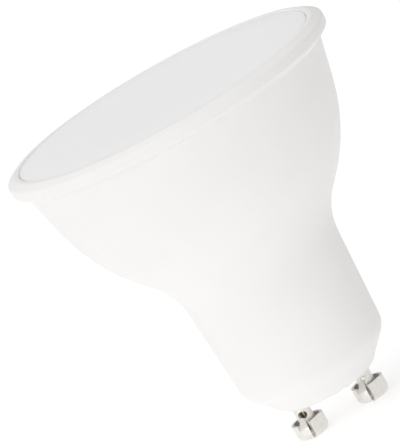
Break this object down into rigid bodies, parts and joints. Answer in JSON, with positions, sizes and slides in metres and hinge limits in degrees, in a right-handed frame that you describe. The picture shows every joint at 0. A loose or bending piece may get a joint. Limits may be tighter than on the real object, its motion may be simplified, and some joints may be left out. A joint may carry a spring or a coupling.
{
  "type": "gu10 spotlight bulb",
  "caption": "White reflector-shaped spotlight lamp: moulded bell housing with a rounded rim, frosted diffuser and a twist-lock cap with rolled sheet-metal pins.",
  "frame": {"origin": "centre of the base's flat face, midway between the two contact pins", "axes": "+Z along the lamp's axis from the cap to the lens, +X through the two pins"},
  "size_m": [0.05, 0.05, 0.0532],
  "materials": {
    "white_plastic": "fine satin moulded white",
    "frosted_plastic": "frosted white, slightly translucent",
    "plated_sheet": "nickel-plated rolled sheet, satin",
    "lead_metal": "dull drawn wire"
  },
  "bodies": {
    "root": {"housing": "white_plastic", "diffuser": "frosted_plastic", "contact_pin_left": "plated_sheet", "contact_pin_right": "plated_sheet", "lead_wire_left": "lead_metal", "lead_wire_right": "lead_metal"}
  },
  "joints": []
}
